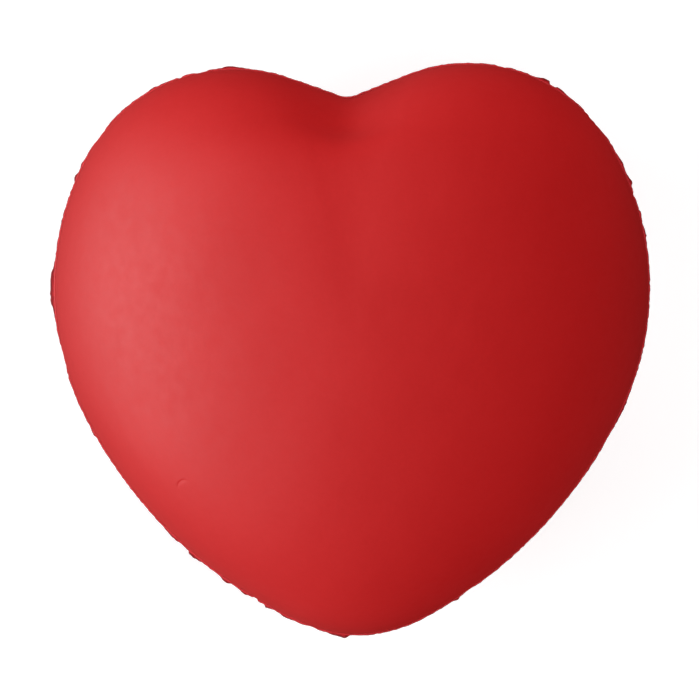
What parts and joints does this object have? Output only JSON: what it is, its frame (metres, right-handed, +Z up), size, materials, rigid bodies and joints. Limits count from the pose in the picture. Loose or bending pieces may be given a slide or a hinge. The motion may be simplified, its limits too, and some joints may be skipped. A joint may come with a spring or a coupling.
{
  "type": "heart-shaped stress ball",
  "caption": "Palm-sized puffy heart of soft moulded foam under a smooth coat, squeezed in the hand and springing back to shape.",
  "frame": {"origin": "middle of the small flat patch that the heart rests on, at the lowest point of the back", "axes": "+Z up out of the front through the heart's thickness, +Y from the tip towards the two lobes, +X to the right seen from the front"},
  "size_m": [0.0724, 0.0688, 0.045],
  "materials": {
    "foam": "soft open-celled polyurethane foam",
    "coat": "smooth satin red polyurethane coat",
    "flash": "trimmed edge of the red coat"
  },
  "bodies": {
    "back": {"rear_skin": "coat", "foam_core": "foam", "parting_flash": "flash"},
    "front": {"front_skin": "coat"}
  },
  "joints": [
    {"name": "squeeze", "type": "slide", "parent": "back", "child": "front", "axis": [0, 0, -1], "range_m": [0, 0.02], "stiffness_N_per_m": 3000, "deforming": ["foam_core", "front_skin", "rear_skin", "parting_flash"]}
  ]
}
